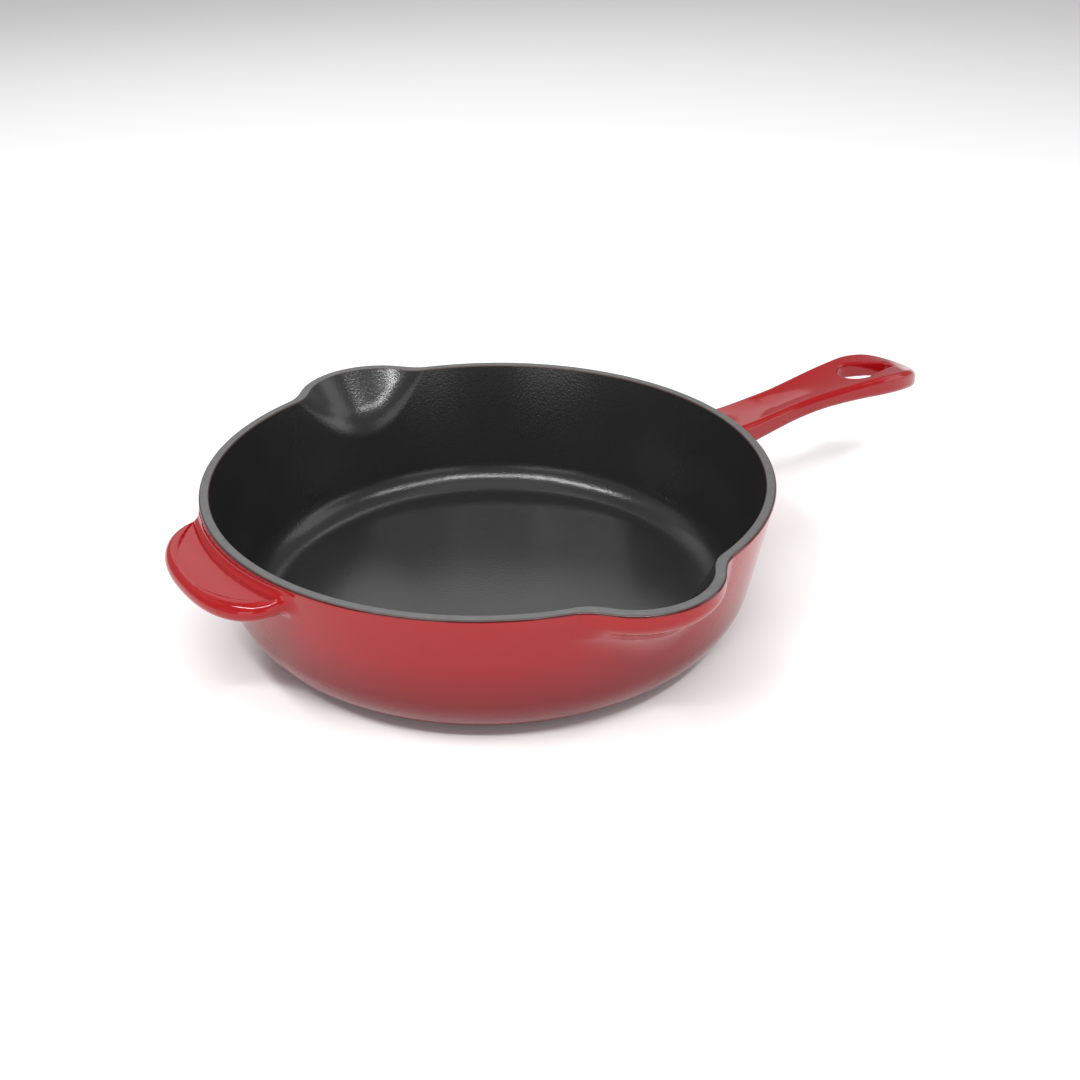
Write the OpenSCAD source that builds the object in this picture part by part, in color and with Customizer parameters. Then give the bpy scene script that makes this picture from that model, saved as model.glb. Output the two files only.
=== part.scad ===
// Enamelled one-piece cast iron skillet: a flat-bottomed bowl with two pouring spouts,
// a long handle with a teardrop hang hole and a crescent helper handle opposite it.
// Millimetres. +Z is up, the origin is the centre of the flat underside,
// +X runs along the long handle and the spouts point along +Y and -Y.

/* [Bowl] */
// outside radius of the flat rim
rim_radius = 130; // [126:0.5:134]
// height of the rim above the resting face
height = 68.7; // [66:0.1:72]
// lean of the wall away from upright, in degrees
wall_lean = 11.5; // [10:0.1:13]
// outside radius of the corner between wall and base
corner_radius = 29; // [26:0.5:31]
// flat width of the rim, with its enamel
rim_width = 4.8; // [4.4:0.1:5.6]
// thickness of the floor, with its enamel
floor_thickness = 4.5; // [4:0.1:6]
// inside radius of the corner between wall and floor
inner_corner_radius = 16; // [13:0.5:18]
// thickness of every coat of enamel
enamel = 0.4; // [0.3:0.05:0.5]

/* [Pouring spouts] */
// distance from the bowl's axis to the centre of each spout's curve
spout_centre = 107; // [105:0.5:108]
// outside radius of each spout at the rim
spout_radius = 38.4; // [37:0.2:40]
// how much the spout's inside radius shrinks for each millimetre below the rim
spout_taper = 0.905; // [0.85:0.01:0.95]
// height of the spout's upright lip
lip_height = 8.4; // [7:0.2:10]
// how far the lip's underside drops for each millimetre it runs back to the wall
lip_undercut = 0.67; // [0.55:0.01:0.8]

/* [Long handle] */
// distance from the bowl's axis to the tip of the handle
handle_reach = 273; // [264:1:282]
// half of the handle's greatest width
handle_half_width = 18.5; // [17.5:0.25:20]
// rounding of the handle's long edges
handle_edge = 3; // [2:0.25:3.5]
// distance from the tip back to the centre of the hang hole's round end
hole_setback = 41.8; // [40:0.2:44]
// radius of the hang hole's round end
hole_round = 9.5; // [9:0.25:10]
// radius of the hang hole's narrow end
hole_narrow = 3; // [2.5:0.25:3.5]
// distance between the centres of the hole's two ends
hole_length = 23.5; // [22:0.5:25]

/* [Helper handle] */
// distance from the bowl's axis to the farthest point of the helper handle
helper_reach = 150; // [148:0.5:153]
// half of the helper handle's width
helper_half_width = 42.3; // [40:0.5:44]
// half of the helper handle's thickness, which is also its edge radius
helper_edge = 4; // [3.5:0.1:4.5]
// depth of the lens-shaped panel sunk into the top
panel_depth = 1.2; // [0.8:0.1:1.6]

/* [Hidden] */

$fn = 128;

iron_grey = [0.23, 0.23, 0.24];
red = [0.62, 0.05, 0.07];
black = [0.07, 0.07, 0.075];
rim_grey = [0.30, 0.30, 0.31];

iron_top = height - enamel;
above_rim = 2;
cut_overlap = 1;

// where the corner arc is centred, so that the wall meets the rim at its radius
arc_r = rim_radius - corner_radius * cos(wall_lean)
      - (height - corner_radius * (1 - sin(wall_lean))) * tan(wall_lean);

// the inner corner's arc, so that the cavity meets the rim at its inner edge
inner_arc_z = floor_thickness + inner_corner_radius;
inner_arc_r = rim_radius - rim_width - inner_corner_radius * cos(wall_lean)
            - (height - inner_arc_z + inner_corner_radius * sin(wall_lean)) * tan(wall_lean);

// Half of a round vessel: a flat bottom, a corner arc centred at (at_r, at_z) and a leaning wall.
module vessel_profile(at_r, at_z, radius, top) {
    wall_r = at_r + radius * cos(wall_lean);
    wall_z = at_z - radius * sin(wall_lean);
    polygon([[0, at_z - radius], [at_r, at_z - radius], [at_r, at_z], [wall_r, wall_z],
             [wall_r + (top - wall_z) * tan(wall_lean), top], [0, top]]);
    translate([at_r, at_z]) circle(radius);
}

// The outside of the two spouts: an upright lip above an underside that runs back to the wall.
module spout_lips(grow, top) {
    outer = spout_radius + grow;
    lip_z = height - lip_height - grow * (sqrt(1 + lip_undercut * lip_undercut) - lip_undercut);
    for (side = [-1, 1]) translate([0, side * spout_centre, 0]) rotate_extrude()
        polygon([[0, lip_z - lip_undercut * outer], [outer, lip_z], [outer, top], [0, top]]);
}

// The inside of the two spouts: tapering scoops, whose radius is given at rim height.
module spout_scoops(radius, top) {
    depth = 36;
    for (side = [-1, 1])
        translate([0, side * spout_centre, height - depth])
            cylinder(h = depth + top - height, r1 = radius - depth * spout_taper,
                     r2 = radius + (top - height) * spout_taper);
}

// The outside of the bowl, grown outwards by the given amount and cut off flat at the top.
module bowl_outside(grow, top) {
    rotate_extrude() vessel_profile(arc_r, corner_radius, corner_radius + grow, top);
    spout_lips(grow, top);
}

// The hollow of the bowl, grown into the wall by the given amount.
module bowl_hollow(grow) {
    top = height + above_rim;
    rotate_extrude() vessel_profile(inner_arc_r, inner_arc_z, inner_corner_radius + grow, top);
    spout_scoops(spout_radius - rim_width + grow * sqrt(1 + spout_taper * spout_taper), top);
}

// Joins closed rings of points, all of the same length, into one solid.
module ring_solid(rings) {
    n = len(rings[0]);
    m = len(rings);
    sides = [for (i = [0 : m - 2], j = [0 : n - 1])
        let (a = i * n + j, b = i * n + (j + 1) % n) each [[a, b + n, b], [a, a + n, b + n]]];
    polyhedron([for (ring = rings) each ring],
               concat([[for (j = [0 : n - 1]) j]], sides, [[for (j = [n - 1 : -1 : 0]) (m - 1) * n + j]]));
}

// Stations of the long handle. Each gives the share of the way from root to tip, the share of the
// greatest half width, and how far the top and bottom lie below the rim.
handle_root = 112;
stations = [[0.00, 1.35, 11.8, 30.8], [0.09, 1.10, 11.5, 27.6], [0.17, 0.87, 11.2, 24.6],
            [0.25, 0.75, 10.6, 22.1], [0.33, 0.71, 9.6, 20.0], [0.42, 0.70, 8.3, 17.9],
            [0.51, 0.76, 7.1, 16.0], [0.61, 0.85, 6.1, 15.2], [0.70, 0.95, 5.5, 15.4],
            [0.79, 1.00, 5.4, 16.2], [0.85, 0.96, 6.3, 17.2], [0.90, 0.86, 7.9, 18.5],
            [0.95, 0.65, 10.6, 20.4], [0.98, 0.43, 12.9, 21.6], [1.00, 0.17, 15.3, 20.9]];

// Smooth curve through four values, at the share t of the way from the second to the third.
function smooth(a, b, c, d, t) =
    b + t / 2 * (c - a + t * (2 * a - 5 * b + 4 * c - d + t * (3 * (b - c) + d - a)));

function station(i) = stations[max(0, min(len(stations) - 1, i))];

// One rounded-rectangle section of the handle, grown by the given amount.
function handle_ring(s, grow) =
    let (x = handle_root + s[0] * (handle_reach + grow - handle_root),
         half = s[1] * handle_half_width + grow,
         top = height - s[2] + grow,
         bottom = height - s[3] - grow,
         edge = min(handle_edge + grow, half * 0.9, (top - bottom) * 0.45))
    [for (corner = [0 : 3], step = [0 : 4])
        let (angle = corner * 90 + step * 22.5,
             y_side = corner == 0 || corner == 3 ? 1 : -1,
             z_mid = corner < 2 ? top - edge : bottom + edge)
        [x, y_side * (half - edge) + edge * cos(angle), z_mid + edge * sin(angle)]];

module long_handle_form(grow) {
    steps = 3;
    ring_solid([for (i = [0 : len(stations) - 2], k = [0 : i == len(stations) - 2 ? steps : steps - 1])
        handle_ring(smooth(station(i - 1), station(i), station(i + 1), station(i + 2), k / steps), grow)]);
}

// The teardrop hang hole, with its round end nearest to the bowl.
module hang_hole(grow) {
    wide = hole_round - grow;
    narrow = hole_narrow - grow;
    slant = acos((wide - narrow) / hole_length);
    depth = 40;
    translate([handle_reach - hole_setback, 0, height - depth]) linear_extrude(depth) {
        circle(wide);
        translate([hole_length, 0]) circle(narrow);
        polygon([[wide * cos(slant), wide * sin(slant)], [wide * cos(slant), -wide * sin(slant)],
                 [hole_length + narrow * cos(slant), -narrow * sin(slant)],
                 [hole_length + narrow * cos(slant), narrow * sin(slant)]]);
    }
}

// The handle with its hole, before it is cut off at the bowl.
module pierced_handle(grow) {
    difference() {
        long_handle_form(grow);
        hang_hole(grow);
    }
}

// The helper handle is a rounded slab on a fuller-than-elliptical outline that tilts down a little.
helper_centre = -125.75;
helper_fullness = 2.31;
helper_drop = 9.1;
helper_tilt = 0.12;
wall_x = -128;

function signed_power(v, power) = sign(v) * pow(abs(v), power);

function helper_point(turn, inset, rise) =
    let (long = helper_centre + helper_reach - helper_edge,
         wide = helper_half_width - helper_edge,
         c = cos(turn),
         s = sin(turn),
         x = helper_centre + long * signed_power(c, 2 / helper_fullness),
         y = wide * signed_power(s, 2 / helper_fullness),
         normal_x = signed_power(c, 2 - 2 / helper_fullness) / long,
         normal_y = signed_power(s, 2 - 2 / helper_fullness) / wide,
         length = norm([normal_x, normal_y]))
    [x + inset * normal_x / length, y + inset * normal_y / length,
     height - helper_drop + helper_tilt * (x - wall_x) + rise];

module helper_form(grow) {
    outline_points = 56;
    edge = helper_edge + grow;
    ring_solid([for (lift = [-90 : 22.5 : 90]) [for (k = [0 : outline_points - 1])
        helper_point((k + 0.5) * 360 / outline_points, edge * cos(lift), edge * sin(lift))]]);
}

// The lens-shaped panel: where a large cylinder and a larger one around the bowl leave a crescent.
module helper_panel(grow) {
    outer_curve = 49;
    inner_curve = 132.4;
    far_edge = 147;
    deep = 6;
    top_at_wall = height - helper_drop + helper_edge;
    translate([wall_x, 0, top_at_wall - panel_depth - grow]) rotate([0, -atan(helper_tilt), 0])
        translate([-wall_x, 0, 0]) difference() {
            translate([outer_curve - far_edge, 0, 0]) cylinder(h = deep, r = outer_curve - grow);
            translate([0, 0, -cut_overlap]) cylinder(h = deep + 2 * cut_overlap, r = inner_curve + grow);
        }
}

module panelled_helper(grow) {
    difference() {
        helper_form(grow);
        helper_panel(grow);
    }
}

module iron_bowl() {
    color(iron_grey) difference() {
        bowl_outside(-enamel, iron_top);
        bowl_hollow(enamel);
    }
}

module iron_long_handle() {
    color(iron_grey) difference() {
        pierced_handle(-enamel);
        bowl_outside(-enamel, iron_top);
    }
}

module iron_helper_handle() {
    color(iron_grey) difference() {
        panelled_helper(-enamel);
        bowl_outside(-enamel, iron_top);
    }
}

module exterior_enamel() {
    color(red) difference() {
        bowl_outside(0, iron_top);
        bowl_outside(-enamel, iron_top + cut_overlap);
        translate([0, 0, -cut_overlap]) cylinder(h = cut_overlap + enamel, r = arc_r);
        long_handle_form(-enamel);
        helper_form(-enamel);
    }
}

module base_enamel() {
    color(red) cylinder(h = enamel, r = arc_r);
}

module handle_enamel() {
    color(red) difference() {
        pierced_handle(0);
        pierced_handle(-enamel);
        bowl_outside(0, iron_top);
    }
}

module helper_handle_enamel() {
    color(red) difference() {
        panelled_helper(0);
        panelled_helper(-enamel);
        bowl_outside(0, iron_top);
    }
}

module interior_enamel() {
    color(black) difference() {
        intersection() {
            bowl_hollow(enamel);
            cylinder(h = iron_top, r = rim_radius + spout_radius);
        }
        bowl_hollow(0);
    }
}

module rim_enamel() {
    color(rim_grey) difference() {
        intersection() {
            bowl_outside(0, height);
            translate([0, 0, iron_top]) cylinder(h = enamel, r = rim_radius + spout_radius);
        }
        bowl_hollow(0);
    }
}

iron_bowl();
iron_long_handle();
iron_helper_handle();
exterior_enamel();
base_enamel();
handle_enamel();
helper_handle_enamel();
interior_enamel();
rim_enamel();
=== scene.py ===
"""Looks for the enamelled cast iron skillet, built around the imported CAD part.

Shapes are worked out in millimetres in the part's own frame: the origin is the centre of the underside,
+Z is up and +X runs along the long handle. Meshes are handed to Blender in metres.
"""

import math

import bpy
import numpy as np
from mathutils import Matrix, Vector


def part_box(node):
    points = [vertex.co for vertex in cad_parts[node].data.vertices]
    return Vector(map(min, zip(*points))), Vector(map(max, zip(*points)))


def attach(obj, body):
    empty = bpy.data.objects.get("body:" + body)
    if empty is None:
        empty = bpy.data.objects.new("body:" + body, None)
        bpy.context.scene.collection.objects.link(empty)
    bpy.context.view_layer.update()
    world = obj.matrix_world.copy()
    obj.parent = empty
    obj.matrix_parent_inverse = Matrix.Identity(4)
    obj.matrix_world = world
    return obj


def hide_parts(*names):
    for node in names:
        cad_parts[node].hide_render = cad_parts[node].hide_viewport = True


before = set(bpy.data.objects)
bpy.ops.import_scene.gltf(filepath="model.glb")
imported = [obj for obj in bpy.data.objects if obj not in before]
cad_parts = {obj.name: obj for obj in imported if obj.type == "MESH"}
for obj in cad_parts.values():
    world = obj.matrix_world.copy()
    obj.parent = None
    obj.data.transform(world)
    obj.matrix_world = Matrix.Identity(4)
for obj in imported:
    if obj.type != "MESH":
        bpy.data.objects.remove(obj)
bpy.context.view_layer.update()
MM = 0.001
VIEW_AZIMUTH = -122.05

# ---------------------------------------------------------------- main sizes, in millimetres
rim_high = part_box("rim_enamel")[1]
HEIGHT = rim_high.z / MM
RIM_R = rim_high.x / MM
HANDLE_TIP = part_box("handle_enamel")[1].x / MM
HELPER_TIP = -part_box("helper_handle_enamel")[0].x / MM

LEAN = math.radians(11.5)
CORNER = 29.0
RIM_WIDTH = 4.8
FLOOR = 4.5
INNER_CORNER = 16.0
COAT = 0.4

SPOUT_CENTRE = 107.06
SPOUT_R = 38.4
SPOUT_SLOPE = 0.455
SPOUT_BLEND_OUT = 5.5
SPOUT_BLEND_IN = 5.0
LIP = 8.4
LIP_EDGE = 2.6
LIP_UNDERCUT = 0.67

RIM_EDGE_OUT = 1.4
RIM_EDGE_IN = 0.9
SHOULDER = np.linspace(0, 1, 12)
RED_SHOULDER = 6

COS, SIN, TAN = math.cos(LEAN), math.sin(LEAN), math.tan(LEAN)
ARC_R = RIM_R - CORNER * COS - (HEIGHT - CORNER * (1 - SIN)) * TAN
IN_ARC_Z = FLOOR + INNER_CORNER
IN_ARC_R = RIM_R - RIM_WIDTH - INNER_CORNER * COS - (HEIGHT - IN_ARC_Z + INNER_CORNER * SIN) * TAN

# radii from which the search for the outer and the inner wall starts
OUTER_START = RIM_R + 18
INNER_START = RIM_R + 14


# ---------------------------------------------------------------- distance fields, negative inside
def blend_min(a, b, k):
    """Union of two solids with a fillet about k wide."""
    h = np.maximum(k - np.abs(a - b), 0) / k
    return np.minimum(a, b) - h * h * k / 4


def round_max(a, b, r):
    """Overlap of two solids with an edge rounded to radius r."""
    return np.minimum(-r, np.maximum(a, b)) + np.hypot(np.maximum(a + r, 0), np.maximum(b + r, 0))


def vessel_field(p, rim_r, arc_r, arc_z, corner):
    r = np.hypot(p[:, 0], p[:, 1])
    z = p[:, 2]
    wall = (r - rim_r) * COS - (z - HEIGHT) * SIN
    flat = np.maximum(wall, arc_z - corner - z)
    vr, vz = r - arc_r, z - arc_z
    in_arc = (vr > 0) & (vr * SIN + vz * COS < 0)
    return np.where(in_arc, np.hypot(vr, vz) - corner, flat)


def spout_field(p, radius):
    drop = SPOUT_SLOPE * (p[:, 2] - HEIGHT)
    across = np.abs(p[:, 1]) - (SPOUT_CENTRE + drop)
    rho = np.hypot(p[:, 0], across)
    steep = SPOUT_SLOPE * (across / np.maximum(rho, 1e-6) + 1)
    return (rho - radius - drop) / np.sqrt(1 + steep * steep)


def lip_field(p):
    """Outside of a spout: an upright lip, then an underside that runs back to the wall."""
    depth = HEIGHT - p[:, 2]
    rho = np.hypot(p[:, 0], np.abs(p[:, 1]) - SPOUT_CENTRE)
    under = (depth - LIP - LIP_UNDERCUT * (SPOUT_R - rho)) / math.hypot(1, LIP_UNDERCUT)
    return round_max(rho - SPOUT_R, under, LIP_EDGE)


def outside_field(p):
    fillet = SPOUT_BLEND_OUT + np.clip(0.6 * (HEIGHT - p[:, 2] - 5), 0, 5)
    return blend_min(vessel_field(p, RIM_R, ARC_R, CORNER, CORNER), lip_field(p), fillet)


def hollow_field(p):
    return blend_min(
        vessel_field(p, RIM_R - RIM_WIDTH, IN_ARC_R, IN_ARC_Z, INNER_CORNER),
        spout_field(p, SPOUT_R - RIM_WIDTH),
        SPOUT_BLEND_IN,
    )


def gradient(field, p, step=0.02):
    g = np.empty_like(p)
    for axis in range(3):
        d = np.zeros(3)
        d[axis] = step
        g[:, axis] = (field(p + d) - field(p - d)) / (2 * step)
    return g


def unit(v):
    return v / np.maximum(np.linalg.norm(v, axis=-1, keepdims=True), 1e-12)


# ---------------------------------------------------------------- structured grids round the bowl
def column_angles():
    """Directions round the bowl, closer together where the spouts run out of the wall."""
    half = 24.0
    quarter = np.concatenate(
        [np.linspace(0, 90 - half, 55, endpoint=False), np.linspace(90 - half, 90, 56, endpoint=False)]
    )
    side = np.concatenate([quarter, [90], 180 - quarter[:0:-1]])
    return np.radians(np.concatenate([side, side + 180]))


ANGLES = column_angles()
DIRECTIONS = np.stack([np.cos(ANGLES), np.sin(ANGLES)], 1)
COLUMNS = len(ANGLES)


def on_rays(field, z, start):
    """Where rays from the bowl's axis at height z (one for each column) meet a surface."""
    r = np.full(COLUMNS, float(start))
    z = np.broadcast_to(z, r.shape)
    for _ in range(14):
        p = np.column_stack([DIRECTIONS * r[:, None], z])
        f = field(p)
        q = np.column_stack([DIRECTIONS * (r + 0.02)[:, None], z])
        slope = np.maximum((field(q) - f) / 0.02, 0.2)
        r = r - f / slope
    return np.column_stack([DIRECTIONS * r[:, None], z])


def edge_start(field, edge, sign, start):
    """The point of a wall where the rounding of its top edge begins, and the wall's normal there."""
    z = np.full(COLUMNS, HEIGHT - edge)
    for _ in range(4):
        p = on_rays(field, z, start)
        n = unit(gradient(field, p)) * sign
        z = HEIGHT - edge + edge * n[:, 2]
    return on_rays(field, z, start), n


def arc_over(p, n, edge, turns):
    """Rows that follow the rounded edge from the wall's normal (turn 0) to straight up (turn 1)."""
    centre = p - n * edge
    up = np.array([0, 0, 1.0])
    angle = np.arccos(np.clip(n @ up, -1, 1))[:, None]
    rows = []
    for t in turns:
        d = (np.sin((1 - t) * angle) * n + np.sin(t * angle) * up) / np.sin(angle)
        rows.append((centre + d * edge, d))
    return rows


def revolve_row(r, z, nr, nz):
    return (
        np.column_stack([DIRECTIONS * r, np.full(COLUMNS, z)]),
        np.column_stack([DIRECTIONS * nr, np.full(COLUMNS, nz)]),
    )


def wall_rows(field, sign, low, top, depths, start):
    """Rows up a wall. The depths are below its top edge, for a wall of the height away from the spouts."""
    rows = []
    for depth in depths:
        t = 1 - depth / (HEIGHT - low)
        z = low + (top[:, 2] - low) * t
        p = on_rays(field, z, start)
        rows.append((p, unit(gradient(field, p)) * sign))
    return rows


outer_top, outer_top_n = edge_start(outside_field, RIM_EDGE_OUT, 1, OUTER_START)
inner_top, inner_top_n = edge_start(hollow_field, RIM_EDGE_IN, -1, INNER_START)


def exterior_rows():
    """From the edge of the flat underside, round the corner and up the wall to the rim."""
    rows = []
    for k in range(23):
        a = (math.pi / 2 - LEAN) * k / 22
        r, z = ARC_R + CORNER * math.sin(a), CORNER * (1 - math.cos(a))
        rows.append(revolve_row(r, z, math.sin(a), -math.cos(a)))
    low = CORNER * (1 - SIN)
    beside_lip = np.concatenate([np.arange(15, 11, -0.5), np.arange(11, 5, -0.3), np.arange(5, 0.8, -1.2)])
    depths = np.concatenate([np.arange(HEIGHT - low - 1.5, 15, -1.5), beside_lip])
    rows += wall_rows(outside_field, 1, low, outer_top, depths, OUTER_START)
    return rows + arc_over(outer_top, outer_top_n, RIM_EDGE_OUT, SHOULDER[: RED_SHOULDER + 1])


def interior_rows():
    """From the rim, down the inside wall and round the corner to the edge of the flat floor."""
    low = IN_ARC_Z - INNER_CORNER * SIN
    rows = [(inner_top, inner_top_n)]
    depths = np.arange(1.2, HEIGHT - low - 0.5, 1.2)
    rows += wall_rows(hollow_field, -1, low, inner_top, depths, INNER_START)
    for k in range(19):
        a = (math.pi / 2 - LEAN) * (1 - k / 18)
        r, z = IN_ARC_R + INNER_CORNER * math.sin(a), IN_ARC_Z - INNER_CORNER * math.cos(a)
        rows.append(revolve_row(r, z, -math.sin(a), math.cos(a)))
    return rows


def disc_rows(radius, z, up, count):
    """Rings of a flat disc, from just inside its edge to just outside its centre."""
    return [revolve_row(radius * (1 - k / count), z, 0, up) for k in range(1, count)]


def thicken(rows, depth):
    return [(p - n * depth, -n) for p, n in rows]


# ---------------------------------------------------------------- meshes
def grid_faces(rows, columns, base=0):
    j = np.arange(columns)
    k = (j + 1) % columns
    faces = []
    for i in range(rows - 1):
        a, b = base + i * columns, base + (i + 1) * columns
        faces.append(np.stack([a + j, a + k, b + k, b + j], 1))
    return np.concatenate(faces)


def make_object(name, points, faces, normals=None):
    """A mesh object in metres from points in millimetres; faces is a list of index lists or arrays."""
    mesh = bpy.data.meshes.new(name)
    mesh.from_pydata((points * MM).tolist(), [], [f.tolist() if hasattr(f, "tolist") else f for f in faces])
    mesh.validate(clean_customdata=False)
    mesh.polygons.foreach_set("use_smooth", np.ones(len(mesh.polygons), bool))
    if normals is not None:
        mesh.normals_split_custom_set_from_vertices(unit(normals).tolist())
    mesh.update()
    obj = bpy.data.objects.new(name, mesh)
    bpy.context.scene.collection.objects.link(obj)
    return obj


def closed_band(name, rows):
    """A closed ring-shaped piece from rows that go once round its section."""
    points = np.concatenate([p for p, _ in rows])
    normals = np.concatenate([n for _, n in rows])
    rows_closed = rows + rows[:1]
    faces = grid_faces(len(rows_closed), COLUMNS)
    faces = faces % len(points)
    return make_object(name, points, list(faces), normals)


def closed_skin(name, rows, centre_z, depth):
    """A closed cup-shaped piece: a skin of rows that ends at a centre point, and its inner side."""
    back = thicken(rows, depth)
    lift = rows[-1][1][0, 2] * depth
    n_rows = len(rows)
    points = np.concatenate([p for p, _ in rows] + [p for p, _ in back])
    normals = np.concatenate([n for _, n in rows] + [n for _, n in back])
    front_centre, back_centre = len(points), len(points) + 1
    points = np.vstack([points, [0, 0, centre_z], [0, 0, centre_z - lift]])
    up = np.sign(lift)
    normals = np.vstack([normals, [0, 0, up], [0, 0, -up]])
    front = grid_faces(n_rows, COLUMNS)
    behind = grid_faces(n_rows, COLUMNS, n_rows * COLUMNS)[:, ::-1]
    j = np.arange(COLUMNS)
    k = (j + 1) % COLUMNS
    last = (n_rows - 1) * COLUMNS
    back_start = n_rows * COLUMNS
    front_fan = np.stack([last + j, last + k, np.full(COLUMNS, front_centre)], 1)
    back_fan = np.stack([back_start + last + k, back_start + last + j, np.full(COLUMNS, back_centre)], 1)
    lip = np.stack([k, j, back_start + j, back_start + k], 1)
    faces = [*front, *behind, *front_fan, *back_fan, *lip]
    if up < 0:
        faces = [f[::-1] for f in faces]
    return make_object(name, points, faces, normals)


# ---------------------------------------------------------------- free-form handles
def signed_curve_distance(px, py, curve):
    """Distance in plan from points to a closed outline, negative inside. The outline is symmetrical in y."""
    shape = px.shape
    q = np.stack([px.ravel(), np.abs(py.ravel())], 1)
    a, b = curve[:-1], curve[1:]
    edge = b - a
    best = np.full(len(q), 1e9)
    side = np.zeros(len(q))
    for s, e in zip(a, edge):
        w = q - s
        t = np.clip((w @ e) / max(e @ e, 1e-12), 0, 1)
        d = w - t[:, None] * e
        dist = d[:, 0] ** 2 + d[:, 1] ** 2
        cross = e[1] * w[:, 0] - e[0] * w[:, 1]
        closer = dist < best
        best = np.where(closer, dist, best)
        side = np.where(closer, cross, side)
    return (np.sqrt(best) * np.sign(side)).reshape(shape)


def smooth_through(xs, ys, x):
    """Smooth curve through the points xs, ys (a Catmull-Rom spline on uneven spacing)."""
    xs, ys = np.asarray(xs, float), np.asarray(ys, float)
    m = np.gradient(ys, xs)
    i = np.clip(np.searchsorted(xs, x) - 1, 0, len(xs) - 2)
    h = xs[i + 1] - xs[i]
    t = np.clip((x - xs[i]) / h, 0, 1)
    return (
        (2 * t**3 - 3 * t**2 + 1) * ys[i]
        + (t**3 - 2 * t**2 + t) * h * m[i]
        + (3 * t**2 - 2 * t**3) * ys[i + 1]
        + (t**3 - t**2) * h * m[i + 1]
    )


def plan_table(curve, low, high, step=0.3):
    """A quick stand-in for signed_curve_distance: a table over half the plan, read with smooth steps."""
    xs = np.arange(low[0], high[0] + 3 * step, step)
    ys = np.arange(-3 * step, high[1] + 3 * step, step)
    table = signed_curve_distance(*np.meshgrid(xs, ys, indexing="ij"), curve)
    size = np.array(table.shape)

    def weights(t):
        return (
            -0.5 * t + t * t - 0.5 * t**3,
            1 - 2.5 * t * t + 1.5 * t**3,
            0.5 * t + 2 * t * t - 1.5 * t**3,
            -0.5 * t * t + 0.5 * t**3,
        )

    def read(px, py):
        u = (px - xs[0]) / step
        v = (np.abs(py) - ys[0]) / step
        i = np.clip(np.floor(u).astype(int), 1, size[0] - 3)
        j = np.clip(np.floor(v).astype(int), 1, size[1] - 3)
        wu, wv = weights(np.clip(u - i, 0, 1)), weights(np.clip(v - j, 0, 1))
        total = 0
        for a in range(4):
            row = sum(wv[b] * table[i + a - 1, j + b - 1] for b in range(4))
            total = total + wu[a] * row
        return total

    return read


# x, half width, depth of the top and of the bottom below the rim
HANDLE = np.array(
    [
        (110.0, 16.4, 11.8, 29.8),
        (127.0, 15.2, 11.5, 26.4),
        (140.0, 14.4, 11.2, 24.0),
        (150.0, 13.8, 10.8, 22.3),
        (165.0, 13.2, 9.6, 20.0),
        (180.0, 12.9, 8.3, 17.8),
        (195.0, 14.1, 7.1, 15.9),
        (210.0, 15.8, 6.1, 15.2),
        (225.0, 17.5, 5.5, 15.4),
        (240.0, 18.5, 5.4, 16.3),
        (255.0, 15.9, 7.4, 18.1),
        (264.0, 11.0, 10.3, 20.2),
        (273.0, 4.0, 13.9, 22.9),
        (280.0, 0.0, 17.0, 25.4),
    ]
)
HANDLE_EDGE_TOP = 3.0
HANDLE_EDGE_BOTTOM = 3.2
HANDLE_BLEND = 9.0
HANDLE_DISH = 1.3
HANDLE_UNDER_DISH = 1.8
HANDLE_WIDEST_X = 240.0
HANDLE_HALF_WIDTH = 18.5
HANDLE_INNER_END = 100
HOLE = (231.2, 9.6, 254.5, 3.4)
HOLE_EDGE = 1.6


def handle_outline():
    """Half of the long handle's outline in plan, from the tip back to inside the bowl."""
    a = np.linspace(0, math.pi / 2, 120, endpoint=False)
    end_x = HANDLE_WIDEST_X + (HANDLE_TIP - HANDLE_WIDEST_X) * np.cos(a)
    end = np.column_stack([end_x, HANDLE_HALF_WIDTH * np.sin(a)])
    x = np.linspace(HANDLE_WIDEST_X, HANDLE_INNER_END, 240)
    side = np.column_stack([x, smooth_through(HANDLE[:, 0], HANDLE[:, 1], np.maximum(x, HANDLE[0, 0]))])
    return np.vstack([end, side, [[HANDLE_INNER_END, 0]]])


def teardrop_distance(px, py):
    """Distance in plan to the hang hole, negative inside."""
    x0, r0, x1, r1 = HOLE
    h = x1 - x0
    b = (r0 - r1) / h
    a = math.sqrt(1 - b * b)
    u, v = np.abs(py), px - x0
    k = -b * u + a * v
    return np.where(
        k < 0,
        np.hypot(u, v) - r0,
        np.where(k > a * h, np.hypot(u, v - h) - r1, a * u + b * v - r0),
    )


handle_plan = plan_table(handle_outline(), (104, 0), (290, 36))


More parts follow.
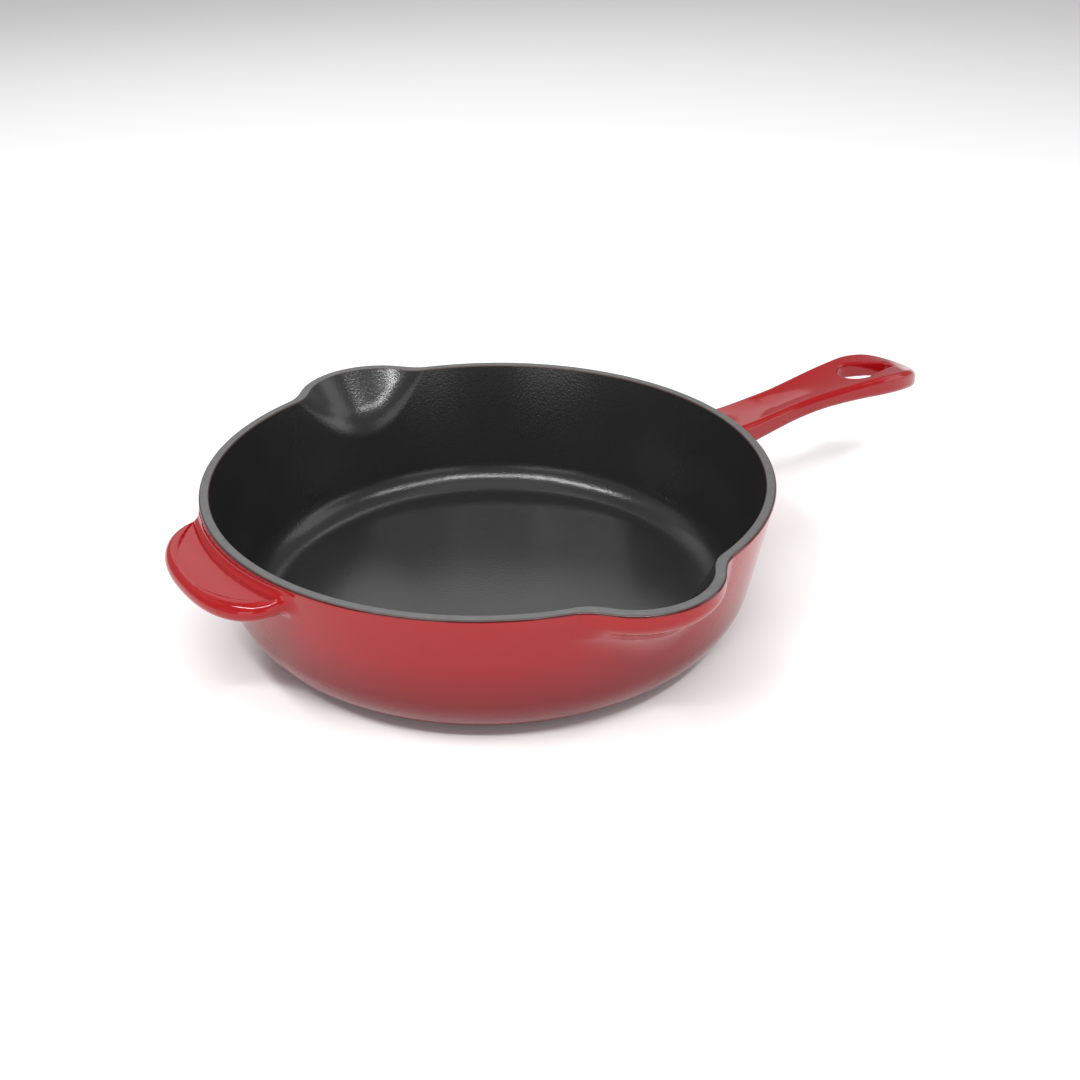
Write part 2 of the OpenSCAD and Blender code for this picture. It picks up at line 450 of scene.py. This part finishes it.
def handle_field(p):
    x, y, z = p[:, 0], p[:, 1], p[:, 2]
    plan = handle_plan(x, y)
    half = smooth_through(HANDLE[:, 0], HANDLE[:, 1], x)
    dish = np.clip(1 - (y / np.maximum(half - 2.0, 2.0)) ** 2, 0, 1)
    dish = dish * np.clip((x - 140) / 30, 0, 1) * np.clip((HANDLE_TIP - 4 - x) / 22, 0, 1)
    top = HEIGHT - smooth_through(HANDLE[:, 0], HANDLE[:, 2], x) - HANDLE_DISH * dish
    bottom = HEIGHT - smooth_through(HANDLE[:, 0], HANDLE[:, 3], x) + HANDLE_UNDER_DISH * dish
    ahead = smooth_through(HANDLE[:, 0], HANDLE[:, 2], x + 0.5)
    behind = smooth_through(HANDLE[:, 0], HANDLE[:, 2], x - 0.5)
    slope = ahead - behind
    lean = 1 / np.sqrt(1 + slope * slope)
    d = round_max(plan, (z - top) * lean, HANDLE_EDGE_TOP)
    d = round_max(d, (bottom - z) * lean, HANDLE_EDGE_BOTTOM)
    return round_max(d, -teardrop_distance(x, y), HOLE_EDGE)


# Helper handle: a slab with full-round edges swept round a fuller-than-elliptical curve.
HELPER_X = -125.75
HELPER_FULLNESS = 2.31
HELPER_R = 4.0
HELPER_LONG = HELPER_TIP + HELPER_X - HELPER_R
HELPER_WIDE = 38.3
HELPER_DROP = 9.1
HELPER_TILT = 0.12
HELPER_BLEND = 6.0
PANEL_DEPTH = 1.2
PANEL_SHALLOW = 0.2
PANEL_EDGE = 1.0
PANEL_OUTER = (-96.2, 50.4)
PANEL_INNER = 132.6


def helper_outline():
    a = np.linspace(0, math.pi, 400)
    c, s = np.cos(a), np.sin(a)
    power = 2 / HELPER_FULLNESS
    x = HELPER_X - HELPER_LONG * np.sign(c) * np.abs(c) ** power
    y = HELPER_WIDE * np.abs(s) ** power
    return np.column_stack([x, y])[::-1]


helper_plan = plan_table(helper_outline(), (-158, 0), (-100, 60))


def helper_field(p):
    x, y, z = p[:, 0], p[:, 1], p[:, 2]
    plan = helper_plan(x, y)
    middle = HEIGHT - HELPER_DROP + HELPER_TILT * (x + 128)
    level = (z - middle) / math.hypot(1, HELPER_TILT)
    slab = np.where(plan > 0, np.hypot(plan, level), np.abs(level)) - HELPER_R
    lens = round_max(
        np.hypot(x - PANEL_OUTER[0], y) - PANEL_OUTER[1], PANEL_INNER - np.hypot(x, y), 0.8
    )
    share = np.clip((x + HELPER_TIP - 4) / 12, 0, 1)
    deep = PANEL_DEPTH * (PANEL_SHALLOW + (1 - PANEL_SHALLOW) * share * share * (3 - 2 * share))
    pocket = round_max(lens, HELPER_R - deep - level, 0.7)
    return round_max(slab, -pocket, PANEL_EDGE)


def long_handle_field(p):
    return blend_min(outside_field(p), handle_field(p), HANDLE_BLEND)


def short_handle_field(p):
    return blend_min(outside_field(p), helper_field(p), HELPER_BLEND)


def net(field, low, high, cell):
    """Quads over the zero surface of a field in a box, with their points moved onto the surface."""
    axes = [np.arange(l, h + cell, cell) for l, h in zip(low, high)]
    n = [len(a) for a in axes]
    flat = np.stack(np.meshgrid(*axes, indexing="ij"), -1).reshape(-1, 3)
    parts = np.array_split(flat, max(1, len(flat) // 200000))
    value = np.concatenate([field(part) for part in parts]).reshape(n)
    inside = value < 0
    total = np.zeros([m - 1 for m in n] + [3])
    count = np.zeros([m - 1 for m in n])
    corners = [(i, j, k) for i in (0, 1) for j in (0, 1) for k in (0, 1)]
    for a in corners:
        for axis in range(3):
            if a[axis]:
                continue
            b = list(a)
            b[axis] = 1
            sa = tuple(slice(c, m - 1 + c) for c, m in zip(a, n))
            sb = tuple(slice(c, m - 1 + c) for c, m in zip(b, n))
            cross = inside[sa] != inside[sb]
            span = value[sa] - value[sb]
            t = np.where(cross, value[sa] / np.where(span == 0, 1, span), 0)
            for c in range(3):
                total[..., c] += np.where(cross, a[c] + (t if c == axis else 0), 0)
            count += cross
    used = count > 0
    index = np.full(used.shape, -1)
    index[used] = np.arange(used.sum())
    where = np.argwhere(used)
    points = (where + total[used] / count[used][:, None]) * cell + np.array(low)
    quads = []
    for axis in range(3):
        u, v = [c for c in range(3) if c != axis]
        sl = [slice(None)] * 3
        sa, sb = list(sl), list(sl)
        sa[axis], sb[axis] = slice(0, -1), slice(1, None)
        for c in (u, v):
            sa[c] = sb[c] = slice(1, -1)
        start, end = inside[tuple(sa)], inside[tuple(sb)]
        at = np.argwhere(start != end)
        out = start[start != end]
        at[:, u] += 1
        at[:, v] += 1
        ids = []
        for du, dv in ((-1, -1), (0, -1), (0, 0), (-1, 0)):
            cell_at = at.copy()
            cell_at[:, u] += du
            cell_at[:, v] += dv
            ids.append(index[tuple(cell_at.T)])
        quad = np.stack(ids, 1)
        flip = out if axis != 1 else ~out
        quad[~flip] = quad[~flip][:, ::-1]
        quads.append(quad)
    quads = np.concatenate(quads)
    quads = quads[(quads >= 0).all(1)]
    return points, quads


def settle(field, points, quads, passes):
    """Evens out the spacing of the points along the surface, and puts them on it."""
    def snap(p):
        for _ in range(3):
            g = gradient(field, p)
            f = field(p)
            p = p - g * (f / np.maximum((g * g).sum(1), 0.05))[:, None]
        return p

    points = snap(points)
    for _ in range(passes):
        total = np.zeros_like(points)
        count = np.zeros(len(points))
        for i in range(4):
            a, b = quads[:, i], quads[:, (i + 1) % 4]
            np.add.at(total, a, points[b])
            np.add.at(total, b, points[a])
            np.add.at(count, a, 1)
            np.add.at(count, b, 1)
        step = total / np.maximum(count, 1)[:, None] - points
        n = unit(gradient(field, points))
        step -= (step * n).sum(1, keepdims=True) * n
        points = snap(points + 0.5 * step)
    return points


def clip_below(points, quads, level):
    """The part of the surface where level is below zero: quads that cross are cut along its zero line."""
    keep = level < 0
    whole = keep[quads].all(1)
    faces = [tuple(q) for q in quads[whole]]
    mixed = quads[keep[quads].any(1) & ~whole]
    extra, made = [], {}

    def cut(a, b):
        key = (min(a, b), max(a, b))
        if key not in made:
            t = level[key[0]] / (level[key[0]] - level[key[1]])
            made[key] = len(points) + len(extra)
            extra.append(points[key[0]] + t * (points[key[1]] - points[key[0]]))
        return made[key]

    for quad in mixed:
        face = []
        for i in range(4):
            a, b = quad[i], quad[(i + 1) % 4]
            if keep[a]:
                face.append(a)
            if keep[a] != keep[b]:
                face.append(cut(a, b))
        if len(face) > 2:
            faces.append(tuple(face))
    points = np.vstack([points, extra]) if extra else points
    used = sorted({v for f in faces for v in f})
    remap = {v: i for i, v in enumerate(used)}
    return points[used], [[remap[v] for v in f] for f in faces]


def open_edges(faces):
    """Edges that have a face on one side only, as they run in that face."""
    edges = {}
    for f in faces:
        for a, b in zip(f, f[1:] + f[:1]):
            edges[(a, b)] = True
    return [(a, b) for a, b in edges if (b, a) not in edges]


def under_skin(p, depth):
    """Points moved to the given depth below the outside of the bowl."""
    for _ in range(4):
        g = gradient(outside_field, p)
        p = p - g * ((outside_field(p) + depth) / (g * g).sum(1))[:, None]
    return p


def rooted_piece(name, body_field, own_field, blend, low, high, cell, depth):
    """A handle with its fillet, cut off where the fillet runs out on the wall, and closed by rings that
    follow the wall just under its surface."""
    points, quads = net(body_field, low, high, cell)
    points = settle(body_field, points, quads, 3)
    level = own_field(points) - outside_field(points) - blend * 0.985
    points, faces = clip_below(points, quads, level)
    rim = open_edges(faces)
    loop = sorted({v for e in rim for v in e})
    place = {v: i for i, v in enumerate(loop)}
    middle = points[loop].mean(0)
    shares = (1, 0.8, 0.6, 0.4, 0.2, 0)
    rings = [under_skin(middle + share * (points[loop] - middle), depth) for share in shares]
    rings[-1] = rings[-1][:1]
    starts = len(points) + len(loop) * np.arange(len(rings))
    normals = unit(gradient(body_field, points))
    back = np.concatenate(rings)
    points = np.vstack([points, back])
    normals = np.vstack([normals, -unit(gradient(outside_field, back))])
    for a, b in rim:
        i, j = place[a], place[b]
        faces.append([b, a, starts[0] + i, starts[0] + j])
        for near, far in zip(starts[:-2], starts[1:-1]):
            faces.append([near + j, near + i, far + i, far + j])
        faces.append([starts[-2] + j, starts[-2] + i, starts[-1]])
    return make_object(name, points, faces, normals)


# ---------------------------------------------------------------- pieces
def rim_rows():
    outer = arc_over(outer_top, outer_top_n, RIM_EDGE_OUT, SHOULDER[RED_SHOULDER:])
    inner = arc_over(inner_top, inner_top_n, RIM_EDGE_IN, np.linspace(0, 1, 7))[::-1]
    flat = []
    for t in (0.25, 0.5, 0.75):
        p = outer[-1][0] * (1 - t) + inner[0][0] * t
        flat.append((p, np.tile([0, 0, 1.0], (COLUMNS, 1))))
    return outer + flat + inner


rim = rim_rows()
exterior = exterior_rows()
interior = interior_rows()
floor_rings = disc_rows(IN_ARC_R, FLOOR, 1, 26)
base_rings = disc_rows(ARC_R, 0, -1, 12)

pieces = {}
pieces["rim_band"] = closed_band("rim_band", rim + thicken(rim, COAT)[::-1])
pieces["bowl_outside"] = closed_band("bowl_outside", [*exterior, *thicken(exterior, COAT)[::-1]])
pieces["bowl_underside"] = closed_skin("bowl_underside", [exterior[0], *base_rings], 0.0, COAT)
pieces["bowl_inside"] = closed_skin("bowl_inside", [*interior, *floor_rings], FLOOR, COAT)

core_outer = thicken(exterior[::2] + [exterior[-1]], COAT)
core_inner = thicken(interior[::2], COAT)
core = [(p, -n) for p, n in core_outer + core_inner]


def core_object():
    """The bowl's iron, between the coats: its outside, its inside, and the flat ends of both."""
    points = np.concatenate([p for p, _ in core])
    low_centre, high_centre = len(points), len(points) + 1
    points = np.vstack([points, [0, 0, COAT], [0, 0, FLOOR - COAT]])
    j = np.arange(COLUMNS)
    k = (j + 1) % COLUMNS
    last = (len(core) - 1) * COLUMNS
    faces = [
        *grid_faces(len(core), COLUMNS),
        *np.stack([k, j, np.full(COLUMNS, low_centre)], 1),
        *np.stack([last + j, last + k, np.full(COLUMNS, high_centre)], 1),
    ]
    return make_object("bowl_casting", points, faces)


pieces["bowl_casting"] = core_object()
# for each handle, the low and high corners of the box it is looked for in, and the size of the net's cells
LONG_BOX = ((108, -32, 30), (284, 32, 66), 0.8)
HELPER_BOX = ((-154, -56, 44), (-104, 56, 67.6), 0.7)
pieces["long_handle"] = rooted_piece(
    "long_handle", long_handle_field, handle_field, HANDLE_BLEND, *LONG_BOX, COAT
)
pieces["helper_handle"] = rooted_piece(
    "helper_handle", short_handle_field, helper_field, HELPER_BLEND, *HELPER_BOX, COAT
)


# ---------------------------------------------------------------- materials
class Nodes:
    """A short way to write a node material."""

    def __init__(self, name):
        self.material = bpy.data.materials.new(name)
        self.material.use_nodes = True
        self.tree = self.material.node_tree
        self.tree.nodes.clear()
        self.out = self.add("ShaderNodeOutputMaterial")
        self.shader = self.add("ShaderNodeBsdfPrincipled")
        self.link(self.shader.outputs["BSDF"], self.out.inputs["Surface"])
        self.place = self.add("ShaderNodeTexCoord").outputs["Object"]

    def add(self, kind, **settings):
        node = self.tree.nodes.new(kind)
        for key, value in settings.items():
            setattr(node, key, value)
        return node

    def link(self, source, target):
        self.tree.links.new(source, target)

    def set(self, **values):
        for key, value in values.items():
            self.shader.inputs[key.replace("_", " ")].default_value = value

    def noise(self, scale, detail=3.0, rough=0.5):
        node = self.add("ShaderNodeTexNoise")
        node.inputs["Scale"].default_value = scale
        node.inputs["Detail"].default_value = detail
        node.inputs["Roughness"].default_value = rough
        self.link(self.place, node.inputs["Vector"])
        return node.outputs["Fac"]

    def ramp(self, source, stops):
        node = self.add("ShaderNodeValToRGB")
        elements = node.color_ramp.elements
        while len(elements) < len(stops):
            elements.new(0.5)
        for element, (place, colour) in zip(elements, stops):
            element.position = place
            element.color = (*colour, 1)
        self.link(source, node.inputs["Fac"])
        return node.outputs["Color"]

    def span(self, source, low, high, to_low=0.0, to_high=1.0):
        node = self.add("ShaderNodeMapRange")
        for key, value in (("From Min", low), ("From Max", high), ("To Min", to_low), ("To Max", to_high)):
            node.inputs[key].default_value = value
        self.link(source, node.inputs["Value"])
        return node.outputs["Result"]

    def math(self, operation, a, b):
        node = self.add("ShaderNodeMath", operation=operation)
        for slot, value in zip(node.inputs, (a, b)):
            if isinstance(value, (int, float)):
                slot.default_value = value
            else:
                self.link(value, slot)
        return node.outputs["Value"]

    def mix(self, factor, a, b):
        node = self.add("ShaderNodeMix", data_type="RGBA")
        for slot, value in ((0, factor), (6, a), (7, b)):
            if isinstance(value, (int, float)):
                node.inputs[slot].default_value = value
            elif isinstance(value, tuple):
                node.inputs[slot].default_value = (*value, 1)
            else:
                self.link(value, node.inputs[slot])
        return node.outputs[2]

    def height(self):
        node = self.add("ShaderNodeSeparateXYZ")
        self.link(self.place, node.inputs["Vector"])
        return node.outputs["Z"]

    def bump(self, source, distance, strength=1.0, below=None):
        node = self.add("ShaderNodeBump")
        node.inputs["Distance"].default_value = distance
        node.inputs["Strength"].default_value = strength
        self.link(source, node.inputs["Height"])
        if below is not None:
            self.link(below, node.inputs["Normal"])
        self.link(node.outputs["Normal"], self.shader.inputs["Normal"])
        return node.outputs["Normal"]


def red_enamel():
    m = Nodes("red_enamel")
    height = m.height()
    # The base colour darkens from the rim down to the underside (deep at the bottom, lighter at the top):
    # painted shade low on the wall and painted light near the rim, standing in for how the light falls.
    deep, painted_light_red, thin = (0.130, 0.0015, 0.005), (0.295, 0.004, 0.006), (0.045, 0.006, 0.005)
    cloud = m.noise(14.0, 2.0)
    level = m.math("ADD", height, m.span(cloud, 0.3, 0.7, -0.002, 0.002))
    colour = m.ramp(
        m.span(level, 0.0, HEIGHT * MM),
        [(0.0, deep), (0.30, (0.156, 0.002, 0.005)), (0.65, (0.265, 0.003, 0.006)), (1.0, painted_light_red)],
    )
    edge = m.span(height, (HEIGHT - 1.15) * MM, (HEIGHT - 0.8) * MM)
    m.link(m.mix(edge, colour, thin), m.shader.inputs["Base Color"])
    m.link(m.span(m.noise(60.0), 0.3, 0.7, 0.05, 0.09), m.shader.inputs["Roughness"])
    m.set(IOR=1.5, Specular_IOR_Level=0.4)
    wave = m.bump(m.noise(28.0, 1.0), 0.00035, 0.25)
    m.bump(m.noise(700.0, 2.0), 0.00003, 0.25, wave)
    return m.material


def black_enamel():
    m = Nodes("black_enamel")
    fine = m.noise(900.0, 1.5, 0.5)
    broad = m.noise(20.0, 2.0)
    colour = m.ramp(broad, [(0.3, (0.0155, 0.0155, 0.016)), (0.7, (0.0185, 0.0185, 0.019))])
    m.link(colour, m.shader.inputs["Base Color"])
    m.link(m.span(fine, 0.3, 0.7, 0.17, 0.23), m.shader.inputs["Roughness"])
    m.set(IOR=1.5)
    m.bump(fine, 0.00016, 0.5)
    return m.material


def rim_coat():
    m = Nodes("ground_coat")
    colour = m.ramp(m.noise(250.0, 3.0), [(0.3, (0.080, 0.080, 0.081)), (0.7, (0.100, 0.100, 0.102))])
    edge = m.span(m.height(), (HEIGHT - 0.20) * MM, (HEIGHT - 0.08) * MM)
    m.link(m.mix(edge, (0.05, 0.02, 0.018), colour), m.shader.inputs["Base Color"])
    m.link(m.span(m.noise(400.0), 0.3, 0.7, 0.38, 0.5), m.shader.inputs["Roughness"])
    m.bump(m.noise(500.0, 2.0), 0.00008, 0.4)
    return m.material


def raw_iron():
    m = Nodes("raw_iron")
    grain = m.noise(500.0, 4.0, 0.6)
    colour = m.ramp(grain, [(0.3, (0.05, 0.05, 0.052)), (0.7, (0.09, 0.09, 0.092))])
    m.link(colour, m.shader.inputs["Base Color"])
    m.link(m.span(grain, 0.3, 0.7, 0.55, 0.75), m.shader.inputs["Roughness"])
    m.set(Metallic=0.7)
    m.bump(grain, 0.0002, 0.6)
    return m.material


def backdrop():
    m = Nodes("studio_floor")
    m.set(Base_Color=(0.94, 0.94, 0.94, 1), Roughness=0.9)
    m.set(Specular_IOR_Level=0.1)
    return m.material


red, black, grey, iron = red_enamel(), black_enamel(), rim_coat(), raw_iron()
LOOKS = {
    "rim_band": (grey, "grey_ground_coat", ["rim_enamel"]),
    "bowl_outside": (red, "red_enamel", ["exterior_enamel"]),
    "bowl_underside": (red, "red_enamel", ["base_enamel"]),
    "bowl_inside": (black, "black_enamel", ["interior_enamel"]),
    "bowl_casting": (iron, "cast_iron", ["iron_bowl"]),
    "long_handle": (red, "red_enamel", ["handle_enamel", "iron_long_handle"]),
    "helper_handle": (red, "red_enamel", ["helper_handle_enamel", "iron_helper_handle"]),
}
for name, (material, slot, nodes) in LOOKS.items():
    piece = pieces[name]
    piece.data.materials.append(material)
    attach(piece, "root")
    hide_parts(*nodes)


# ---------------------------------------------------------------- floor, lights and camera
def floor_plane():
    size = 6.0
    mesh = bpy.data.meshes.new("floor")
    corners = [(-size, -size, 0), (size, -size, 0), (size, size, 0), (-size, size, 0)]
    mesh.from_pydata(corners, [], [(0, 1, 2, 3)])
    obj = bpy.data.objects.new("floor", mesh)
    bpy.context.scene.collection.objects.link(obj)
    mesh.materials.append(backdrop())


def point_at(obj, target, roll=0.0):
    way = (Vector(target) - obj.location).to_track_quat("-Z", "Y").to_matrix()
    obj.rotation_euler = (way @ Matrix.Rotation(roll, 3, "Z")).to_euler()


def area_light(name, place, target, width, depth, power):
    light = bpy.data.lights.new(name, "AREA")
    light.shape = "RECTANGLE"
    light.size, light.size_y = width, depth
    light.energy = power
    obj = bpy.data.objects.new(name, light)
    bpy.context.scene.collection.objects.link(obj)
    obj.location = place
    point_at(obj, target)


def studio_place(azimuth, elevation, distance):
    """A place given by its angle round from the camera (positive to its right) and above the floor."""
    turn = math.radians(VIEW_AZIMUTH + azimuth)
    flat = distance * math.cos(math.radians(elevation))
    return (flat * math.cos(turn), flat * math.sin(turn), distance * math.sin(math.radians(elevation)))


floor_plane()

AIM = (0.0, 0.0, 0.03)
LIGHT_DISTANCE = 1.5
WORLD_STRENGTH = 0.40
# elevation, width and depth of each row of softboxes, then the azimuth and power of each box
SOFTBOXES = (
    (13, 0.77, 0.61, ((-60, 0.3), (-30, 2.6), (30, 1.9), (90, 2.7))),
    (35, 1.50, 0.61, ((-165, 2.2),)),
    (35, 0.78, 0.61, ((-108, 0.3), (108, 1.8))),
    (55, 0.95, 0.08, ((-58, 9.0), (-6, 8.2), (46, 5.4))),
    (58, 0.65, 0.61, ((-180, 3.2),)),
    (89, 0.90, 0.90, ((180, 1.4),)),
)
for elevation, width, depth, boxes in SOFTBOXES:
    for azimuth, power in boxes:
        place = studio_place(azimuth, elevation, LIGHT_DISTANCE)
        area_light(f"softbox_{elevation}_{azimuth}", place, AIM, width, depth, power)

world = bpy.data.worlds.new("studio")
bpy.context.scene.world = world
world.use_nodes = True
world.node_tree.nodes["Background"].inputs["Color"].default_value = (1, 1, 1, 1)
world.node_tree.nodes["Background"].inputs["Strength"].default_value = WORLD_STRENGTH

CAMERA_PLACE = (-0.32706, -0.52247, 0.37165)
CAMERA_TARGET = (0.011559, -0.02409, 0.039614)
CAMERA_ROLL = math.radians(-0.356)
camera = bpy.data.objects.new("camera", bpy.data.cameras.new("camera"))
bpy.context.scene.collection.objects.link(camera)
camera.location = CAMERA_PLACE
camera.data.sensor_width = 36.0
camera.data.lens = 50.307
point_at(camera, CAMERA_TARGET, CAMERA_ROLL)
bpy.context.scene.camera = camera
bpy.context.scene.view_settings.view_transform = "Standard"
